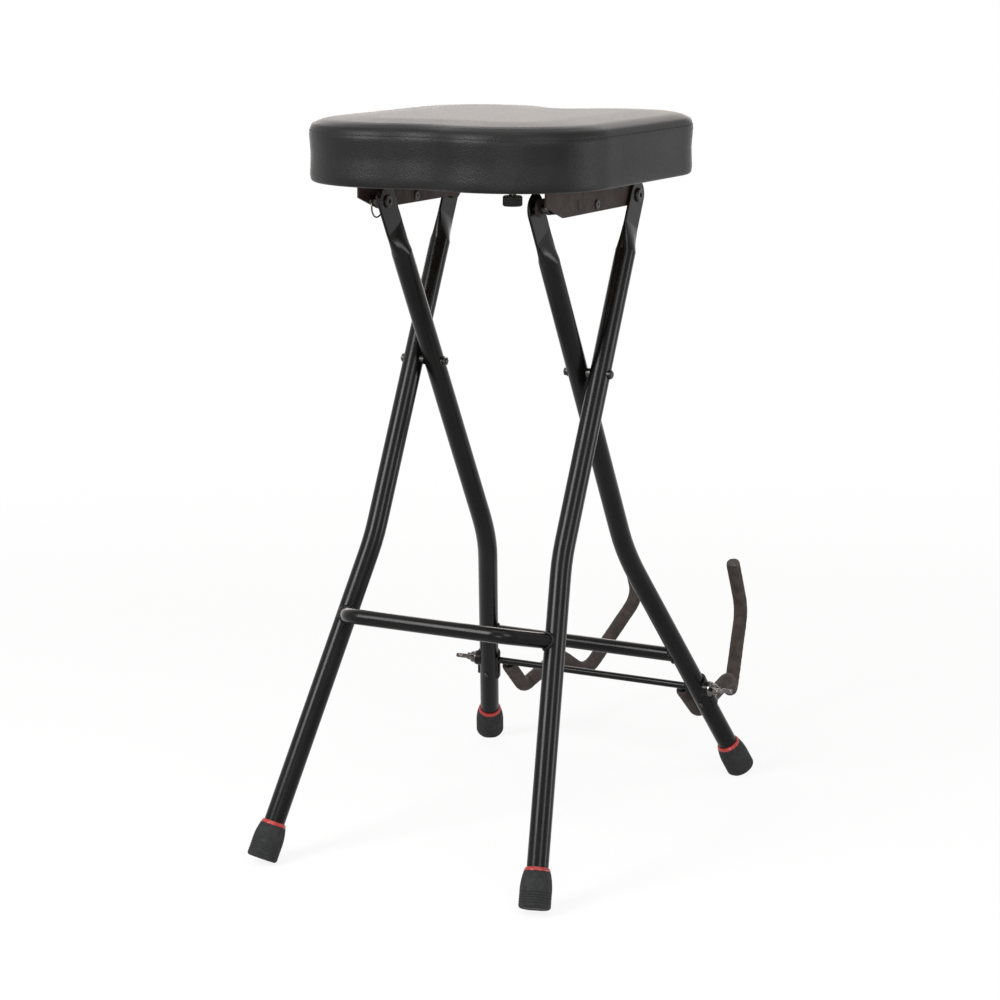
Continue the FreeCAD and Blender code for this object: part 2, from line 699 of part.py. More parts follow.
def make_latches():
    back = latch_rivet_point().y + latch_rear_overhang
    front = stud_point.y - latch_front_overhang
    step_start = stud_point.y + latch_hook_length
    step_end = step_start + latch_step_length
    step_way = math.atan2(bracket_inner - hook_outer, latch_step_length)
    shift = latch_sheet * math.tan(step_way / 2)
    plan = face_of([
        (bracket_inner, back), (bracket_inner, step_end), (hook_outer, step_start), (hook_outer, front),
        (hook_outer - latch_sheet, front), (hook_outer - latch_sheet, step_start + shift),
        (bracket_inner - latch_sheet, step_end + shift), (bracket_inner - latch_sheet, back)],
        lambda x, y: V(x, y, hinge_height - latch_drop))
    sheet = plan.extrude(upwards * (latch_drop + latch_rise))
    low = hinge_height - latch_drop
    high = hinge_height + latch_rise
    corner = latch_corner
    profile = side_plate([
        (front, low + corner), (front + corner, low), (back - corner, low), (back, low + corner),
        (back, high - corner), (back - corner, high), (front + corner, high), (front, high - corner)],
        0, cut_room)
    radius = stud_diameter / 2 + hook_clearance
    reach = 3 * latch_drop

    def wall(angle, side):
        """Start and end of a straight wall of the hook's mouth, which opens down and rearwards."""
        turn = math.radians(angle)
        start = (stud_point.y + side * radius * math.cos(turn), stud_point.z + side * radius * math.sin(turn))
        return start, (start[0] + reach * math.sin(turn), start[1] - reach * math.cos(turn))

    front_start, front_end = wall(hook_front_wall_angle, -1)
    rear_start, rear_end = wall(hook_rear_wall_angle, 1)
    mouth = side_plate([front_start, front_end, rear_end, rear_start], 0, bracket_inner - latch_sheet)
    throat = across(stud_point, 0, bracket_inner - latch_sheet, 2 * radius)
    rivet_hole = across(latch_rivet_point(), 0, cut_room, latch_rivet_diameter)
    plate = sheet.common(profile).fuse(latch_tab(0, latch_tab_proud)).removeSplitter()
    make_pair("latch_plate", plate.cut([mouth, throat, rivet_hole]))
    steps = round_head(latch_rivet_head_height, latch_rivet_head_diameter,
                       latch_rivet_bore_diameter, latch_rivet_bore_depth)
    inner_face = bracket_inner - latch_sheet
    point = latch_rivet_point()
    outer_head = turned(steps, V(bracket_outer, point.y, point.z), sideways)
    inner_head = turned(steps, V(inner_face, point.y, point.z), sideways * -1)
    shank = across(point, inner_face, bracket_outer, latch_rivet_diameter)
    nodes["latch_rivets"] = both_sides(shank.fuse([outer_head, inner_head]))


# Round rubber bumper on a stud under the middle of the seat

def make_bumper():
    radius = bumper_diameter / 2
    low = V(0, bumper_from_scissor, hinge_height - bumper_drop)
    edge = bumper_chamfer
    steps = [(0, 0), (0, radius - edge), (edge, radius), (bumper_height - edge, radius),
             (bumper_height, radius - edge), (bumper_height, 0)]
    stud_start = low + upwards * (bumper_height - bumper_stud_grip)
    stud_end = V(0, bumper_from_scissor, board_base + bumper_stud_in_board)
    stud = cylinder(stud_start, stud_end, bumper_stud_diameter)
    nodes["seat_bumper"] = turned(steps, low, upwards).cut(stud)
    nodes["bumper_stud"] = stud


# Guitar cradle: rod, welded arms and their foam sleeves

def arm_points():
    corners = [arm_heel, arm_crest, arm_dip, arm_bend, arm_tip]
    return [arm_root] + [arm_root + V(out, back, rise) for back, rise, out in corners]


def make_cradle():
    rod_end = saddle_face + side_clearance + wing_nut_base_height + rod_end_proud
    rod = across(rod_point, -rod_end, rod_end, rod_diameter)
    nodes["cradle_rod"] = rod
    points = arm_points()
    radii = [arm_heel_radius, arm_crest_radius, arm_dip_radius, arm_bend_radius]
    core = bent_bar(points, radii, arm_diameter)
    make_pair("cradle_arm", core.cut(rod))
    first_way = (points[1] - points[0]).normalize()
    last_way = (points[-1] - points[-2]).normalize()
    sleeve_points = [points[0] + first_way * sleeve_from_rod] + points[1:]
    sleeve = bent_bar(sleeve_points, radii, sleeve_diameter)
    radius = sleeve_diameter / 2
    edge = sleeve_end_round
    edge_middle = (edge * quarter, radius - edge * (1 - quarter))
    cap_steps = [(0, 0), (0, radius), (edge_middle, (edge, radius - edge)), (edge, 0)]
    cap = turned(cap_steps, points[-1], last_way)
    bore = bent_bar(points, radii, arm_diameter + 2 * push_fit_clearance)
    make_pair("arm_sleeve", sleeve.fuse(cap).cut(bore))


# Saddles round the backs of the rear legs, with a flat face for each wing nut

def make_saddles():
    down = rear_leg.foot_down
    top = rod_point - down * saddle_above_rod
    low = rod_point + down * saddle_below_rod
    shell = cylinder(top, low, leg_diameter + 2 * saddle_wall)
    boss = across(rod_point, rod_point.x, saddle_face, saddle_boss_diameter)
    spot = across(rod_point, saddle_face, saddle_face + leg_diameter, saddle_spot_diameter)
    rearwards = behind_rear_legs
    front_room = Part.makeBox(cut_room, cut_room, cut_room, V(-cut_room / 2, -cut_room / 2, -cut_room))
    front_room.Placement = FreeCAD.Placement(rod_point - rearwards * saddle_wrap,
                                             FreeCAD.Rotation(upwards, rearwards))
    bore = across(rod_point, 0, cut_room, rod_diameter + 2 * running_clearance)
    saddle = shell.cut(front_room).fuse(boss)
    rivet_tip = saddle_rivet_point + rearwards * (leg_radius + saddle_wall)
    rivet_seat = saddle_rivet_point - rearwards * leg_radius
    rivet_shank = cylinder(rivet_seat, rivet_tip, saddle_rivet_diameter)
    past_ends = down * leg_diameter
    leg_room = cylinder(top - past_ends, low + past_ends, leg_diameter + 2 * push_fit_clearance)
    make_pair("rod_saddle", saddle.cut([leg_room, spot, bore, rivet_shank]))
    steps = round_head(saddle_rivet_head_height, saddle_rivet_head_diameter)
    head = turned(steps, rivet_seat, rearwards * -1)
    nodes["saddle_rivets"] = both_sides(head.fuse(rivet_shank))


# Wing nuts on the ends of the rod

def make_wing_nuts():
    seat = V(saddle_face + side_clearance, rod_point.y, rod_point.z)
    flange = wing_nut_base_diameter / 2
    barrel = wing_nut_top_diameter / 2
    inner_round = wing_nut_top_round * (1 - quarter)
    barrel_end = wing_nut_base_height - wing_nut_top_round
    top_middle = (wing_nut_base_height - inner_round, barrel - inner_round)
    hub_steps = [(0, 0), (0, flange), (wing_nut_flange_height, flange),
                 (wing_nut_flange_height + flange - barrel, barrel), (barrel_end, barrel),
                 (top_middle, (wing_nut_base_height, barrel - wing_nut_top_round)), (wing_nut_base_height, 0)]
    base = turned(hub_steps, seat, sideways)
    tip_radius = wing_tip_diameter / 2
    tip = (wing_reach - tip_radius, wing_span / 2 - tip_radius)
    root = (wing_root_rise, wing_root_offset)
    run = math.hypot(tip[0] - root[0], tip[1] - root[1])
    way = ((tip[0] - root[0]) / run, (tip[1] - root[1]) / run)
    half_root = wing_root_width / 2

    def beside(point, distance):
        return (point[0] - way[1] * distance, point[1] + way[0] * distance)

    outer_tip = (tip[0] + way[0] * tip_radius, tip[1] + way[1] * tip_radius)
    steps = [beside(root, -half_root), beside(tip, -tip_radius), (outer_tip, beside(tip, tip_radius)),
             beside(root, half_root)]
    paddle = face_of(steps, lambda along, radius: V(along, radius, -wing_thickness / 2))
    ear = paddle.extrude(V(0, 0, wing_thickness))
    rims = [edge for edge in ear.Edges if edge.BoundBox.ZLength < wing_thickness / 2]
    ear = ear.makeFillet(wing_edge_round, rims)
    ears = ear.fuse(ear.mirror(V(0, 0, 0), V(0, 1, 0)))
    ears.Placement = FreeCAD.Placement(seat, FreeCAD.Rotation(sideways, wing_turn))
    bore = across(rod_point, 0, cut_room, rod_diameter + 2 * running_clearance)
    make_pair("wing_nut", base.fuse(ears).cut(bore))


make_legs()
make_bars()
make_feet()
make_scissor_fasteners()
make_hinge_fasteners()
make_studs()
make_cushion()
make_brackets()
make_latches()
make_bumper()
make_cradle()
make_saddles()
make_wing_nuts()

# Centre the stool in Y and write each piece
front_most = nodes["front_foot_right"].optimalBoundingBox(True).YMin
rear_most = nodes["arm_sleeve_right"].optimalBoundingBox(True).YMax
centring = V(0, -(front_most + rear_most) / 2, 0)
os.makedirs("parts", exist_ok=True)
for name, shape in nodes.items():
    placed = shape.copy()
    placed.translate(centring)
    solids = placed.Solids
    print(name, len(solids), round(placed.Volume), placed.isValid())
    piece = solids[0] if len(solids) == 1 else Part.makeCompound(solids)
    piece.exportStep("parts/" + name + ".step")

places = {"scissor axis": scissor_point, "seat hinge": hinge_point, "stud": stud_point, "rod": rod_point,
          "front foot": front_leg.foot_end, "rear foot": rear_leg.foot_end}
for label, point in places.items():
    place = point + centring
    print(label, round(place.x, 3), round(place.y, 3), round(place.z, 3))
print("seat top", round(seat_top, 3), "board base", round(board_base, 3))
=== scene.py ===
import json
import math

import bpy
from mathutils import Matrix, Vector, noise
from mathutils.bvhtree import BVHTree


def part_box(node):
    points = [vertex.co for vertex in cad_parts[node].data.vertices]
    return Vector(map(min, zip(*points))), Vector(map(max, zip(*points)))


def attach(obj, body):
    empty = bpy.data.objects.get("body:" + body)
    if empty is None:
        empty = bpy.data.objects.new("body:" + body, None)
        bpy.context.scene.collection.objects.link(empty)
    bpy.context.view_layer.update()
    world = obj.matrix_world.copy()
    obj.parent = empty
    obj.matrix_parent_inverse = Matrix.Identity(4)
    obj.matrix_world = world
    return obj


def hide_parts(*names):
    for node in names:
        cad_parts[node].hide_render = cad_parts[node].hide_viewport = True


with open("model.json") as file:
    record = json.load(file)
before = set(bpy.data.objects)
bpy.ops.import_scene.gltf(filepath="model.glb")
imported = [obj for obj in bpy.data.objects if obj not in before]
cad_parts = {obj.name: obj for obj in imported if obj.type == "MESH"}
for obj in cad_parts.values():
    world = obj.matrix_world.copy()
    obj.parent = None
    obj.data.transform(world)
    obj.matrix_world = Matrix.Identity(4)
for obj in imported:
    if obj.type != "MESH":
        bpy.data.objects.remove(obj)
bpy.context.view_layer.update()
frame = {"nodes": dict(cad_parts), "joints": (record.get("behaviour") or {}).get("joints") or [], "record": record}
nodes = frame["nodes"]
pivots = {joint["name"]: Vector(joint["pos_m"]) for joint in frame["joints"]}

# Camera, as solved from the photograph: angles in degrees, lengths in metres
view_azimuth = 27.44
view_elevation = 11.09
view_roll = 0.11
view_distance = 2.823
view_aim = Vector((0.0, -0.13676, 0.3958))
lens_mm = 95.65
sensor_mm = 36.0
frame_shift = (0.0004, -0.0326)

# Seat cushion: sizes in metres, counts, and shares of those sizes
cushion_columns = 360
lip_width = 0.021
lip_shares = (1.0, 0.66, 0.33)
lip_row = 1
rim_radius = 0.004
rim_rows = 5
side_rows = 12
seam_drop = 0.014
seam_reach = 0.0015
roll_rows = 5
crest_drop = 0.004
top_rings = 26
swell_start = 0.0025
swell_cap = 0.003
swell_steps = 20
swell_smoothing = 60
seam_depth = 0.0012
seam_side_share = 0.35
stitch_pitch = 0.0046
stitch_length = 0.0032
stitch_radius = 0.00045
stitch_proud = 0.6
staple_pitch = 0.026
staple_length = 0.011
staple_radius = 0.0005
staple_slant = 0.5
staple_sunk = 0.3
cast_height = 0.1

# How firmly the rows of the cushion are held while it swells: 1 doesn't move, 0 moves freely
lip_hold = 1.0
side_hold = 0.0
seam_hold = 0.85
top_hold = 0.6

# Foam sleeves, welds and threads
sleeve_voxel = 0.0022
sleeve_puff = 0.0005
sleeve_grain = 0.00018
sleeve_waves = (160, 420)
sleeve_end_length = 0.007
sleeve_softening = 4
weld_radius = 0.0022
weld_ripples = 24
weld_ripple_share = 0.13
weld_points = 96
weld_sides = 10
weld_reach = 0.04
footrest_root = Vector((0.12272, -0.24971, 0.24591))
footrest_way = Vector((-0.5296, -0.8192, 0.2196))
thread_start = 0.1573
thread_end = 0.1617
thread_pitch = 0.00125
thread_core = 0.0039
thread_depth = 0.0003
thread_sides = 48
thread_rows = 40

# Surroundings and floor: half the floor's side, its drop below the feet, and where it fades into white
surround_light = 0.3
floor_grey = 0.85
floor_half = 8.0
floor_drop = 0.0002
fade_start = 0.5
fade_end = 2.2
fade_share = 0.87

# Lamps: azimuth and elevation in degrees, distance, width and height in metres, watts and tint
white = (1.0, 1.0, 1.0)
lamps = {
    "key": (-25, 30, 1.9, 0.68, 0.9, 34, white),
    "fill": (52, 28, 2.1, 0.6, 0.8, 13, white),
    "front": (19, 3, 3.3, 0.8, 0.8, 25, white),
    "side": (110, 4, 2.2, 0.6, 0.9, 13, white),
    "top": (20, 78, 2.4, 1.6, 1.6, 14, white),
    "rear": (208, 14, 2.8, 2.4, 1.4, 26, (1.0, 0.91, 0.84)),
}


# Mesh helpers

def add_piece(name, mesh, material, body):
    """A new object for a mesh, which rides on a body and takes the material that it is given."""
    piece = bpy.data.objects.new(name, mesh)
    bpy.context.scene.collection.objects.link(piece)
    mesh.materials.clear()
    mesh.materials.append(material)
    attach(piece, body)
    return piece


def mesh_from(name, points, faces):
    mesh = bpy.data.meshes.new(name)
    mesh.from_pydata([tuple(point) for point in points], [], faces)
    mesh.validate()
    mesh.polygons.foreach_set("use_smooth", [True] * len(mesh.polygons))
    mesh.update()
    return mesh


def grid_faces(rows, columns, start=0):
    """Quads of a grid of points that is closed round its columns."""
    faces = []
    for row in range(rows - 1):
        for column in range(columns):
            after = (column + 1) % columns
            low = start + row * columns
            high = low + columns
            faces.append((low + column, low + after, high + after, high + column))
    return faces


def capsule(start, end, radius, sides=8, rings=3):
    """Points and faces of a round-ended rod."""
    axis = (end - start).normalized()
    across = axis.orthogonal().normalized()
    beside = axis.cross(across)
    points = []
    rows = 2 * rings
    for row in range(rows):
        centre = start if row < rings else end
        step = row + 1 - rings if row < rings else row - rings
        angle = math.pi / 2 * step / rings
        reach = radius * math.cos(angle)
        place = centre + axis * radius * math.sin(angle)
        for side in range(sides):
            turn = 2 * math.pi * side / sides
            points.append(place + (across * math.cos(turn) + beside * math.sin(turn)) * reach)
    faces = grid_faces(rows, sides)
    faces.append(tuple(reversed(range(sides))))
    faces.append(tuple(range((rows - 1) * sides, rows * sides)))
    return points, faces


def join_parts(name, parts):
    """One mesh from many lists of points and faces."""
    points = []
    faces = []
    for part_points, part_faces in parts:
        start = len(points)
        points += part_points
        faces += [tuple(start + corner for corner in face) for face in part_faces]
    return mesh_from(name, points, faces)


# Materials: every one is made of procedural nodes in the object's own metres

def shader(name, base, roughness, metallic=0.0, specular=0.5):
    """A material with its main shader, and the texture coordinates that its details use."""
    material = bpy.data.materials.new(name)
    material.use_nodes = True
    tree = material.node_tree
    main = tree.nodes["Principled BSDF"]
    main.inputs["Base Color"].default_value = (*base, 1.0)
    main.inputs["Roughness"].default_value = roughness
    main.inputs["Metallic"].default_value = metallic
    main.inputs["Specular IOR Level"].default_value = specular
    place = tree.nodes.new("ShaderNodeTexCoord")
    return material, tree, main, place.outputs["Object"]


def noise_of(tree, place, scale, detail=4.0, stretch=None):
    texture = tree.nodes.new("ShaderNodeTexNoise")
    texture.inputs["Scale"].default_value = scale
    texture.inputs["Detail"].default_value = detail
    if stretch:
        mapping = tree.nodes.new("ShaderNodeMapping")
        mapping.inputs["Scale"].default_value = stretch
        tree.links.new(place, mapping.inputs["Vector"])
        place = mapping.outputs["Vector"]
    tree.links.new(place, texture.inputs["Vector"])
    return texture.outputs["Fac"]


def cells_of(tree, place, scale):
    texture = tree.nodes.new("ShaderNodeTexVoronoi")
    texture.feature = "SMOOTH_F1"
    texture.inputs["Scale"].default_value = scale
    texture.inputs["Smoothness"].default_value = 0.6
    tree.links.new(place, texture.inputs["Vector"])
    return texture.outputs["Distance"]


def vary_colour(tree, main, value, dark, light, low=0.35, high=0.65):
    ramp = tree.nodes.new("ShaderNodeValToRGB")
    ramp.color_ramp.elements[0].position = low
    ramp.color_ramp.elements[0].color = (*dark, 1.0)
    ramp.color_ramp.elements[1].position = high
    ramp.color_ramp.elements[1].color = (*light, 1.0)
    tree.links.new(value, ramp.inputs["Fac"])
    tree.links.new(ramp.outputs["Color"], main.inputs["Base Color"])


def vary_roughness(tree, main, value, low, high):
    span = tree.nodes.new("ShaderNodeMapRange")
    span.inputs["From Min"].default_value = 0.3
    span.inputs["From Max"].default_value = 0.7
    span.inputs["To Min"].default_value = low
    span.inputs["To Max"].default_value = high
    tree.links.new(value, span.inputs["Value"])
    tree.links.new(span.outputs["Result"], main.inputs["Roughness"])


def add_bump(tree, main, value, strength, depth):
    bump = tree.nodes.new("ShaderNodeBump")
    bump.inputs["Strength"].default_value = strength
    bump.inputs["Distance"].default_value = depth
    tree.links.new(value, bump.inputs["Height"])
    before = main.inputs["Normal"].links
    if before:
        tree.links.new(before[0].from_socket, bump.inputs["Normal"])
    tree.links.new(bump.outputs["Normal"], main.inputs["Normal"])


def powder_coat():
    """Gloss black powder coat with faint orange peel."""
    material, tree, main, place = shader("powder_coat", (0.0025, 0.0024, 0.0024), 0.23, 0.0, 0.15)
    vary_colour(tree, main, noise_of(tree, place, 14.0), (0.0018, 0.0017, 0.0017), (0.0035, 0.0034, 0.0033))
    vary_roughness(tree, main, noise_of(tree, place, 55.0), 0.2, 0.27)
    add_bump(tree, main, noise_of(tree, place, 320.0, 1.0), 0.015, 0.0004)
    return material


def bracket_paint():
    """Satin dark paint on sheet metal."""
    material, tree, main, place = shader("bracket_paint", (0.028, 0.019, 0.017), 0.55, 0.0, 0.12)
    vary_colour(tree, main, noise_of(tree, place, 40.0), (0.022, 0.015, 0.0135), (0.034, 0.0235, 0.021))
    vary_roughness(tree, main, noise_of(tree, place, 120.0), 0.48, 0.62)
    add_bump(tree, main, noise_of(tree, place, 900.0, 2.0), 0.1, 0.0004)
    return material


def black_plating():
    """Black-plated steel of the bolts and rivets."""
    material, tree, main, place = shader("black_plating", (0.03, 0.029, 0.028), 0.3, 0.85)
    vary_colour(tree, main, noise_of(tree, place, 90.0), (0.022, 0.021, 0.02), (0.05, 0.048, 0.046))
    vary_roughness(tree, main, noise_of(tree, place, 300.0), 0.22, 0.42)
    add_bump(tree, main, noise_of(tree, place, 1500.0, 2.0), 0.08, 0.0002)
    return material


def bright_plating():
    """Dark bright plating of the wing nuts."""
    material, tree, main, place = shader("bright_plating", (0.11, 0.1, 0.095), 0.2, 1.0)
    vary_colour(tree, main, noise_of(tree, place, 60.0), (0.08, 0.073, 0.069), (0.15, 0.138, 0.13))
    vary_roughness(tree, main, noise_of(tree, place, 220.0), 0.16, 0.3)
    add_bump(tree, main, noise_of(tree, place, 900.0, 3.0), 0.05, 0.0003)
    return material


def ring_wire():
    """Dark wire of the keeper ring."""
    material, tree, main, place = shader("ring_wire", (0.09, 0.085, 0.08), 0.24, 1.0)
    vary_colour(tree, main, noise_of(tree, place, 150.0), (0.07, 0.066, 0.062), (0.12, 0.112, 0.105))
    vary_roughness(tree, main, noise_of(tree, place, 700.0), 0.18, 0.34)
    return material


def foot_rubber():
    """Charcoal moulded rubber."""
    material, tree, main, place = shader("foot_rubber", (0.012, 0.0124, 0.0128), 0.8, 0.0, 0.25)
    patches = noise_of(tree, place, 70.0, 6.0)
    vary_colour(tree, main, patches, (0.0095, 0.0098, 0.0101), (0.0158, 0.0162, 0.0166))
    vary_roughness(tree, main, noise_of(tree, place, 260.0), 0.66, 0.88)
    add_bump(tree, main, noise_of(tree, place, 1800.0, 3.0), 0.2, 0.0003)
    return material


def red_plastic():
    """Glossy red collar."""
    material, tree, main, place = shader("red_plastic", (0.28, 0.012, 0.012), 0.28)
    vary_colour(tree, main, noise_of(tree, place, 60.0), (0.23, 0.008, 0.008), (0.33, 0.018, 0.016))
    vary_roughness(tree, main, noise_of(tree, place, 200.0), 0.22, 0.36)
    add_bump(tree, main, noise_of(tree, place, 900.0, 2.0), 0.05, 0.0003)
    return material


def seat_vinyl():
    """Black vinyl with a pebble grain."""
    material, tree, main, place = shader("seat_vinyl", (0.004, 0.0039, 0.0038), 0.42, 0.0, 0.18)
    patches = noise_of(tree, place, 24.0, 6.0)
    vary_colour(tree, main, patches, (0.003, 0.0029, 0.0028), (0.0055, 0.0053, 0.0052))
    vary_roughness(tree, main, noise_of(tree, place, 700.0), 0.37, 0.47)
    add_bump(tree, main, cells_of(tree, place, 800.0), 0.6, 0.0004)
    add_bump(tree, main, noise_of(tree, place, 1500.0, 3.0), 0.1, 0.0002)
    return material


def thread():
    """Black twisted thread."""
    material, tree, main, place = shader("thread", (0.006, 0.006, 0.006), 0.7, 0.0, 0.3)
    vary_colour(tree, main, noise_of(tree, place, 900.0), (0.004, 0.004, 0.004), (0.012, 0.012, 0.012))
    add_bump(tree, main, noise_of(tree, place, 4000.0, 2.0), 0.3, 0.0002)
    return material


def sleeve_foam():
    """Dark brown closed-cell foam tube."""
    material, tree, main, place = shader("sleeve_foam", (0.026, 0.02, 0.017), 0.85, 0.0, 0.25)
    vary_colour(tree, main, noise_of(tree, place, 90.0, 6.0), (0.026, 0.02, 0.0175), (0.048, 0.038, 0.0335))
    vary_roughness(tree, main, noise_of(tree, place, 400.0), 0.72, 0.95)
    add_bump(tree, main, cells_of(tree, place, 1500.0), 0.35, 0.0004)
    add_bump(tree, main, noise_of(tree, place, 350.0, 4.0), 0.25, 0.0005)
    return material


def foam_end():
    """Cut end of a foam tube, with open cells."""
    material, tree, main, place = shader("foam_end", (0.075, 0.068, 0.062), 0.95, 0.0, 0.15)
    vary_colour(tree, main, noise_of(tree, place, 700.0, 6.0), (0.045, 0.04, 0.036), (0.11, 0.1, 0.092))
    add_bump(tree, main, cells_of(tree, place, 1200.0), 0.6, 0.0006)
    return material


def plywood():
    """Plain plywood with a long grain."""
    material, tree, main, place = shader("plywood", (0.36, 0.24, 0.14), 0.7)
    grain = noise_of(tree, place, 6.0, 8.0, (14.0, 1.0, 14.0))
    vary_colour(tree, main, grain, (0.27, 0.17, 0.095), (0.46, 0.32, 0.19))
    vary_roughness(tree, main, noise_of(tree, place, 90.0), 0.6, 0.8)
    add_bump(tree, main, grain, 0.15, 0.0004)
    return material


def bare_steel():
    """Bright wire of the staples."""
    material, tree, main, place = shader("bare_steel", (0.5, 0.49, 0.47), 0.3, 1.0)
    vary_colour(tree, main, noise_of(tree, place, 400.0), (0.4, 0.39, 0.37), (0.6, 0.58, 0.56))
    vary_roughness(tree, main, noise_of(tree, place, 900.0), 0.22, 0.4)
    return material


looks = {
    "tube_paint": powder_coat(),
    "bracket_paint": bracket_paint(),
    "foot_rubber": foot_rubber(),
    "ring_plastic": red_plastic(),
    "dark_fasteners": black_plating(),
    "ring_wire": ring_wire(),
    "nut_plating": bright_plating(),
    "seat_vinyl": seat_vinyl(),
    "seat_padding": foam_end(),
    "seat_wood": plywood(),
    "sleeve_foam": sleeve_foam(),
}
for subpart in frame["record"]["subparts"]:
    node = nodes[subpart["node"]]
    node.data.materials.clear()
    node.data.materials.append(looks[subpart["material_slot"]])


# Seat cushion: its form is read from the seat's cover, then swelled by a cloth simulation

def tree_of(*names):
    """A search tree of the faces of CAD nodes."""
    points = []
    faces = []
    for name in names:
        start = len(points)
        mesh = nodes[name].data
        points += [vertex.co.copy() for vertex in mesh.vertices]
        faces += [tuple(start + corner for corner in polygon.vertices) for polygon in mesh.polygons]
    return BVHTree.FromPolygons(points, faces)


class Cushion:
    """Rings of points over the seat: out along the lip below, up the side and in over the top."""

    def __init__(self):
        self.low, self.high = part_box("seat_cover")
        self.centre = (self.low + self.high) / 2
        self.tree = tree_of("seat_cover")
        self.ways = []
        for column in range(cushion_columns):
            turn = 2 * math.pi * column / cushion_columns
            self.ways.append(Vector((math.cos(turn), math.sin(turn), 0.0)))
        self.points = []
        self.held = []
        self.seam_row = 0
        self.rows = 0

    def outline(self, height):
        """The cover's outermost points at a height."""
        found = []
        for way in self.ways:
            start = Vector((self.centre.x, self.centre.y, height)) + way * (self.high - self.low).length
            found.append(self.tree.ray_cast(start, -way)[0])
        return found

    def top_at(self, point):
        above = Vector((point.x, point.y, self.high.z + cast_height))
        return self.tree.ray_cast(above, Vector((0, 0, -1)))[0]

    def add_row(self, points, held):
        self.points += points
        self.held += [held] * len(points)
        self.rows += 1

    def add_lip(self):
        """The flat lip below and the round of the lower rim."""
        rim = self.outline(self.low.z + rim_radius)
        for share in lip_shares:
            row = [point - way * lip_width * share for point, way in zip(rim, self.ways)]
            self.add_row([Vector((point.x, point.y, self.low.z)) for point in row], lip_hold)
        for step in range(rim_rows + 1):
            turn = math.pi / 2 * (1 - step / rim_rows)
            inwards = rim_radius * (1 - math.cos(turn))
            down = Vector((0, 0, rim_radius * math.sin(turn)))
            self.add_row([point - way * inwards - down for point, way in zip(rim, self.ways)], lip_hold)

    def build(self):
        thickness = self.high.z - self.low.z
        self.add_lip()
        seam_height = thickness - seam_drop
        for step in range(1, side_rows + 1):
            height = rim_radius + (seam_height - rim_radius) * step / (side_rows + 1)
            self.add_row(self.outline(self.low.z + height), side_hold)
        for offset in (-seam_reach, 0.0, seam_reach):
            if offset == 0.0:
                self.seam_row = self.rows
            self.add_row(self.outline(self.low.z + seam_height + offset), seam_hold)
        for step in range(1, roll_rows + 1):
            height = seam_height + seam_reach + (seam_drop - crest_drop - seam_reach) * step / roll_rows
            self.add_row(self.outline(self.low.z + height), side_hold)
        crest = self.points[-cushion_columns:]
        for ring in range(1, top_rings):
            share = 1 - ring / top_rings
            spots = [Vector((self.centre.x, self.centre.y, 0)) * (1 - share) + Vector((p.x, p.y, 0)) * share
                     for p in crest]
            self.add_row([self.top_at(spot) for spot in spots], top_hold)
        faces = grid_faces(self.rows, cushion_columns)
        last = (self.rows - 1) * cushion_columns
        self.points.append(self.top_at(self.centre))
        self.held.append(top_hold)
        for column in range(cushion_columns):
            faces.append((last + column, last + (column + 1) % cushion_columns, len(self.points) - 1))
        return mesh_from("seat_cushion", self.points, faces)


def smooth_rows(values, rows):
    """Evens out values on the cushion's grid of rows, and keeps the last value, at its middle."""
    grid = [values[row * cushion_columns:(row + 1) * cushion_columns] for row in range(rows)]
    for _ in range(swell_smoothing):
        before = [row[:] for row in grid]
        for row in range(1, rows - 1):
            for column in range(cushion_columns):
                near = (before[row][column - 1] + before[row][(column + 1) % cushion_columns]
                        + before[row - 1][column] + before[row + 1][column])
                grid[row][column] = 0.5 * before[row][column] + 0.125 * near
        inner = sum(grid[-2]) / cushion_columns
        grid[-1] = [inner] * cushion_columns
    return [value for row in grid for value in row] + [grid[-1][0]]


def swell(piece, held, rows):
    """Inflates a cushion with a cloth simulation, and takes from it how far each point moves outwards."""
    mesh = piece.data
    start = [vertex.co.copy() for vertex in mesh.vertices]
    normals = [vertex.normal.copy() for vertex in mesh.vertices]
    for vertex, normal, hold in zip(mesh.vertices, normals, held):
        vertex.co -= normal * swell_start * (1 - hold)
    group = piece.vertex_groups.new(name="held")
    for index, hold in enumerate(held):
        group.add([index], hold, "REPLACE")
    cloth = piece.modifiers.new("swell", "CLOTH")
    cloth.settings.quality = 6
    cloth.settings.mass = 0.3
    cloth.settings.tension_stiffness = 25
    cloth.settings.compression_stiffness = 25
    cloth.settings.shear_stiffness = 10
    cloth.settings.bending_stiffness = 5
    cloth.settings.use_pressure = True
    cloth.settings.uniform_pressure_force = 4
    cloth.settings.vertex_group_mass = "held"
    cloth.settings.effector_weights.gravity = 0
    cloth.point_cache.frame_start = 1
    cloth.point_cache.frame_end = swell_steps
    scene = bpy.context.scene
    for step in range(1, swell_steps + 1):
        scene.frame_set(step)
    graph = bpy.context.evaluated_depsgraph_get()
    swelled = [vertex.co.copy() for vertex in piece.evaluated_get(graph).data.vertices]
    piece.modifiers.remove(cloth)
    scene.frame_set(1)
    moves = [(after - before).dot(normal) for before, after, normal in zip(start, swelled, normals)]
    moves = [min(max(move, 0.0), swell_cap) * (1 - hold) for move, hold in zip(moves, held)]
    for vertex, before, normal, move in zip(mesh.vertices, start, normals, smooth_rows(moves, rows)):
        vertex.co = before + normal * move
    mesh.update()


def sink_seam(mesh, row):
    """Draws the stitched seam in by a narrow groove."""
    first = row * cushion_columns
    for step, share in ((-1, seam_side_share), (0, 1.0), (1, seam_side_share)):
        for column in range(cushion_columns):
            vertex = mesh.vertices[first + step * cushion_columns + column]
            vertex.co -= vertex.normal * seam_depth * share
    mesh.update()


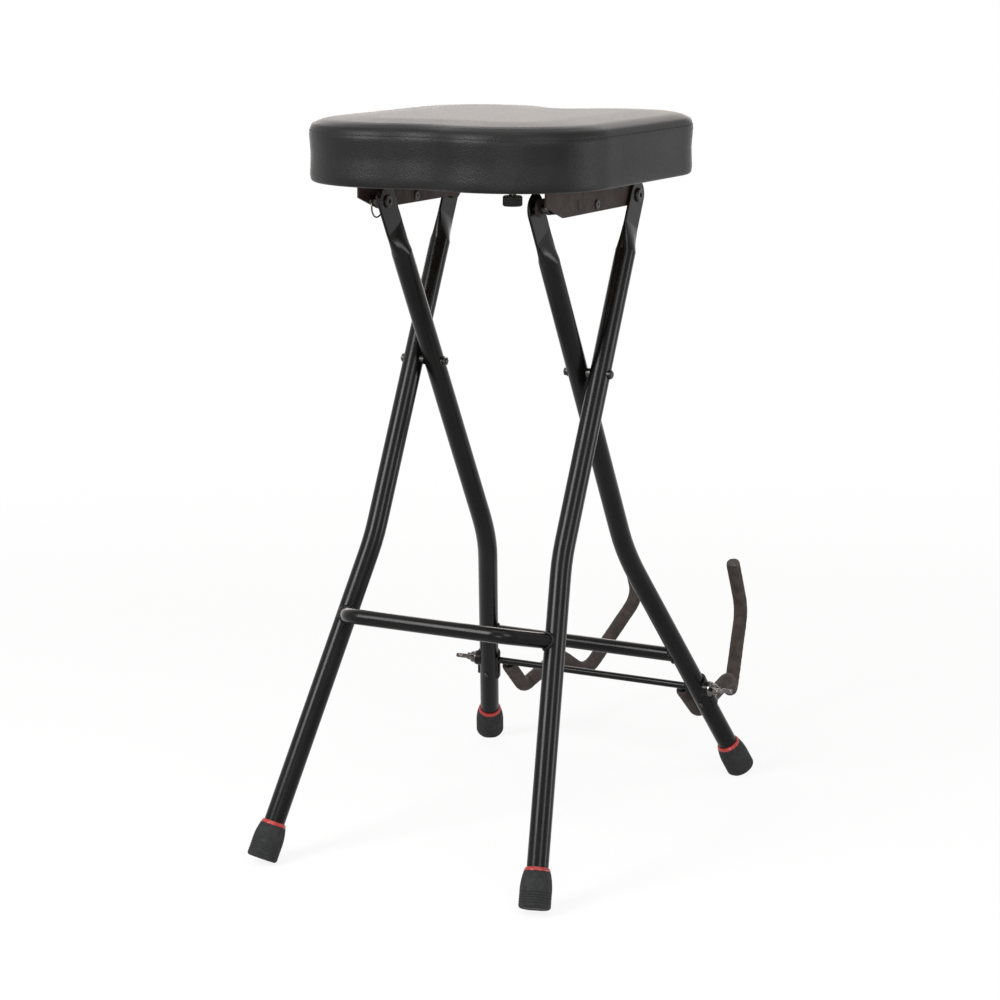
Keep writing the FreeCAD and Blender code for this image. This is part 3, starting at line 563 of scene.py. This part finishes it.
def row_of(mesh, row):
    """The places of one row of the cushion's points."""
    first = row * cushion_columns
    return [mesh.vertices[first + column].co.copy() for column in range(cushion_columns)]


def along_loop(points, pitch):
    """Evenly spaced places on a closed line, with its direction there."""
    places = []
    left = 0.0
    for start, end in zip(points, points[1:] + points[:1]):
        run = end - start
        while left < run.length:
            places.append((start + run.normalized() * left, run.normalized()))
            left += pitch
        left -= run.length
    return places


def make_cushion():
    form = Cushion()
    piece = add_piece("seat_cushion", form.build(), looks["seat_vinyl"], "seat")
    swell(piece, form.held, form.rows)
    mesh = piece.data
    seam = row_of(mesh, form.seam_row)
    sink_seam(mesh, form.seam_row)
    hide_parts("seat_cover", "seat_foam")
    centre = form.centre
    stitches = []
    for place, way in along_loop(seam, stitch_pitch):
        outwards = way.cross(Vector((0, 0, 1)))
        middle = place - outwards * (seam_depth - stitch_radius * stitch_proud)
        half = way * stitch_length / 2
        stitches.append(capsule(middle - half, middle + half, stitch_radius))
    add_piece("seat_stitching", join_parts("seat_stitching", stitches), thread(), "seat")
    staples = []
    for place, way in along_loop(row_of(mesh, lip_row), staple_pitch):
        inwards = Vector((centre.x - place.x, centre.y - place.y, 0)).normalized()
        half = (way + inwards * staple_slant).normalized() * staple_length / 2
        middle = place + Vector((0, 0, staple_radius * staple_sunk))
        staples.append(capsule(middle - half, middle + half, staple_radius))
    add_piece("lip_staples", join_parts("lip_staples", staples), bare_steel(), "seat")


make_cushion()


# Foam sleeves on the cradle arms

def make_sleeve(side):
    """A softened copy of the sleeve's form, with the fine unevenness of foam."""
    name = "foam_sleeve_" + side
    source = nodes["arm_sleeve_" + side]
    piece = add_piece(name, source.data.copy(), looks["sleeve_foam"], "cradle")
    remesh = piece.modifiers.new("even", "REMESH")
    remesh.mode = "VOXEL"
    remesh.voxel_size = sleeve_voxel
    smooth = piece.modifiers.new("soften", "SMOOTH")
    smooth.iterations = sleeve_softening
    graph = bpy.context.evaluated_depsgraph_get()
    mesh = bpy.data.meshes.new_from_object(piece.evaluated_get(graph))
    piece.modifiers.clear()
    piece.data = mesh
    mesh.materials.clear()
    mesh.materials.append(looks["sleeve_foam"])
    mesh.polygons.foreach_set("use_smooth", [True] * len(mesh.polygons))
    for vertex in mesh.vertices:
        uneven = sum(noise.noise(vertex.co * wave) / rank for rank, wave in enumerate(sleeve_waves, 1))
        vertex.co += vertex.normal * (sleeve_puff + sleeve_grain * uneven)
    mesh.materials.append(looks["seat_padding"])
    tip = max(vertex.co.z for vertex in mesh.vertices)
    for polygon in mesh.polygons:
        polygon.material_index = int(polygon.center.z > tip - sleeve_end_length)
    mesh.update()
    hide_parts("arm_sleeve_" + side)


for side in ("left", "right"):
    make_sleeve(side)


# Weld beads where the bars meet the legs, and threads on the ends of the cradle rod

def flipped(vector):
    return Vector((-vector.x, vector.y, vector.z))


def make_weld(name, leg, root, way, bar_radius, body):
    """A rippled bead round the end of a bar: its line is found by casting rays along the bar onto the leg."""
    tree = tree_of(leg)
    across = way.orthogonal().normalized()
    beside = way.cross(across)
    line = []
    for step in range(weld_points):
        turn = 2 * math.pi * step / weld_points
        start = root + way * weld_reach + (across * math.cos(turn) + beside * math.sin(turn)) * bar_radius
        line.append((tree.ray_cast(start, -way)[0], turn))
    points = []
    for hit, turn in line:
        outwards = across * math.cos(turn) + beside * math.sin(turn)
        radius = weld_radius * (1 + weld_ripple_share * math.sin(weld_ripples * turn))
        for side in range(weld_sides):
            angle = 2 * math.pi * side / weld_sides
            points.append(hit + (outwards * math.cos(angle) + way * math.sin(angle)) * radius)
    faces = []
    for row in range(weld_points):
        low = row * weld_sides
        high = (row + 1) % weld_points * weld_sides
        for side in range(weld_sides):
            after = (side + 1) % weld_sides
            faces.append((low + side, low + after, high + after, high + side))
    add_piece(name, mesh_from(name, points, faces), looks["tube_paint"], body)


def make_thread(name, sign):
    """The ridged end of the rod beyond a wing nut."""
    axis = pivots["cradle_fold"]
    points = []
    for row in range(thread_rows):
        along = thread_start + (thread_end - thread_start) * row / (thread_rows - 1)
        for side in range(thread_sides):
            share = (along / thread_pitch + sign * side / thread_sides) % 1
            radius = thread_core + thread_depth * abs(2 * share - 1)
            turn = 2 * math.pi * side / thread_sides
            points.append(Vector((sign * along, axis.y, axis.z))
                          + Vector((0, math.cos(turn), math.sin(turn))) * radius)
    faces = grid_faces(thread_rows, thread_sides)
    add_piece(name, mesh_from(name, points, faces), looks["dark_fasteners"], "cradle")


crossbar_low, crossbar_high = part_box("rear_crossbar")
crossbar_root = (crossbar_low + crossbar_high) / 2
crossbar_root.x = crossbar_high.x
bar_radius = (crossbar_high.z - crossbar_low.z) / 2
crossbar_way = Vector((-1, 0, 0))
make_weld("footrest_weld_right", "front_leg_right", footrest_root, footrest_way, bar_radius, "front_frame")
make_weld("footrest_weld_left", "front_leg_left", flipped(footrest_root), flipped(footrest_way), bar_radius,
          "front_frame")
make_weld("crossbar_weld_right", "rear_leg_right", crossbar_root, crossbar_way, bar_radius, "rear_frame")
make_weld("crossbar_weld_left", "rear_leg_left", flipped(crossbar_root), flipped(crossbar_way), bar_radius,
          "rear_frame")
make_thread("rod_thread_left", -1)
make_thread("rod_thread_right", 1)


# Camera

def way_from(azimuth, elevation):
    """The direction from the stool at an angle from its front, towards +X, and an angle up, in degrees."""
    a = math.radians(azimuth)
    e = math.radians(elevation)
    return Vector((math.sin(a) * math.cos(e), -math.cos(a) * math.cos(e), math.sin(e)))


def make_camera():
    back = way_from(view_azimuth, view_elevation)
    data = bpy.data.cameras.new("camera")
    data.lens = lens_mm
    data.sensor_width = sensor_mm
    data.shift_x, data.shift_y = frame_shift
    camera = bpy.data.objects.new("camera", data)
    bpy.context.scene.collection.objects.link(camera)
    turn = (-back).to_track_quat("-Z", "Y").to_matrix().to_4x4()
    roll = Matrix.Rotation(math.radians(view_roll), 4, "Z")
    camera.matrix_world = Matrix.Translation(view_aim + back * view_distance) @ turn @ roll
    bpy.context.scene.camera = camera


make_camera()


# Studio: pale floor, white surroundings and soft lamps

def camera_share(tree):
    """1 for rays from the camera, mirrors and glass, and 0 for rays that carry light."""
    path = tree.nodes.new("ShaderNodeLightPath")
    first = tree.nodes.new("ShaderNodeMath")
    first.operation = "MAXIMUM"
    tree.links.new(path.outputs["Is Camera Ray"], first.inputs[0])
    tree.links.new(path.outputs["Is Glossy Ray"], first.inputs[1])
    second = tree.nodes.new("ShaderNodeMath")
    second.operation = "MAXIMUM"
    tree.links.new(first.outputs["Value"], second.inputs[0])
    tree.links.new(path.outputs["Is Transmission Ray"], second.inputs[1])
    return second.outputs["Value"]


def make_world():
    world = bpy.data.worlds.new("studio")
    bpy.context.scene.world = world
    world.use_nodes = True
    tree = world.node_tree
    light = tree.nodes["Background"]
    light.inputs["Color"].default_value = (1.0, 1.0, 1.0, 1.0)
    light.inputs["Strength"].default_value = surround_light
    shown = tree.nodes.new("ShaderNodeBackground")
    shown.inputs["Color"].default_value = (1.0, 1.0, 1.0, 1.0)
    shown.inputs["Strength"].default_value = 1.0
    mix = tree.nodes.new("ShaderNodeMixShader")
    tree.links.new(camera_share(tree), mix.inputs["Fac"])
    tree.links.new(light.outputs["Background"], mix.inputs[1])
    tree.links.new(shown.outputs["Background"], mix.inputs[2])
    tree.links.new(mix.outputs["Shader"], tree.nodes["World Output"].inputs["Surface"])


def make_floor():
    ways = ((-1, -1), (1, -1), (1, 1), (-1, 1))
    corners = [Vector((x * floor_half, y * floor_half, -floor_drop)) for x, y in ways]
    floor = bpy.data.objects.new("floor", mesh_from("floor", corners, [(0, 1, 2, 3)]))
    bpy.context.scene.collection.objects.link(floor)
    material = bpy.data.materials.new("floor")
    material.use_nodes = True
    tree = material.node_tree
    main = tree.nodes["Principled BSDF"]
    main.inputs["Base Color"].default_value = (floor_grey, floor_grey, floor_grey, 1.0)
    main.inputs["Roughness"].default_value = 0.9
    main.inputs["Specular IOR Level"].default_value = 0.0
    glow = tree.nodes.new("ShaderNodeEmission")
    glow.inputs["Strength"].default_value = 1.0
    place = tree.nodes.new("ShaderNodeTexCoord")
    distance = tree.nodes.new("ShaderNodeVectorMath")
    distance.operation = "LENGTH"
    tree.links.new(place.outputs["Object"], distance.inputs[0])
    fade = tree.nodes.new("ShaderNodeMapRange")
    fade.interpolation_type = "SMOOTHSTEP"
    fade.inputs["From Min"].default_value = fade_start
    fade.inputs["From Max"].default_value = fade_end
    fade.inputs["To Min"].default_value = fade_share
    fade.inputs["To Max"].default_value = 1.0
    tree.links.new(distance.outputs["Value"], fade.inputs["Value"])
    share = tree.nodes.new("ShaderNodeMath")
    share.operation = "MULTIPLY"
    tree.links.new(camera_share(tree), share.inputs[0])
    tree.links.new(fade.outputs["Result"], share.inputs[1])
    mix = tree.nodes.new("ShaderNodeMixShader")
    tree.links.new(share.outputs["Value"], mix.inputs["Fac"])
    tree.links.new(main.outputs["BSDF"], mix.inputs[1])
    tree.links.new(glow.outputs["Emission"], mix.inputs[2])
    tree.links.new(mix.outputs["Shader"], tree.nodes["Material Output"].inputs["Surface"])
    floor.data.materials.append(material)


def make_lamp(name, azimuth, elevation, distance, width, height, power, tint):
    """A soft box that faces the middle of the stool."""
    data = bpy.data.lights.new(name, "AREA")
    data.color = tint
    data.shape = "RECTANGLE"
    data.size = width
    data.size_y = height
    data.energy = power
    lamp = bpy.data.objects.new(name, data)
    bpy.context.scene.collection.objects.link(lamp)
    back = way_from(azimuth, elevation)
    lamp.location = view_aim + back * distance
    lamp.rotation_mode = "QUATERNION"
    lamp.rotation_quaternion = (-back).to_track_quat("-Z", "Y")


make_world()
make_floor()
for name, setting in lamps.items():
    make_lamp(name, *setting)

bpy.context.scene.view_settings.view_transform = "Standard"
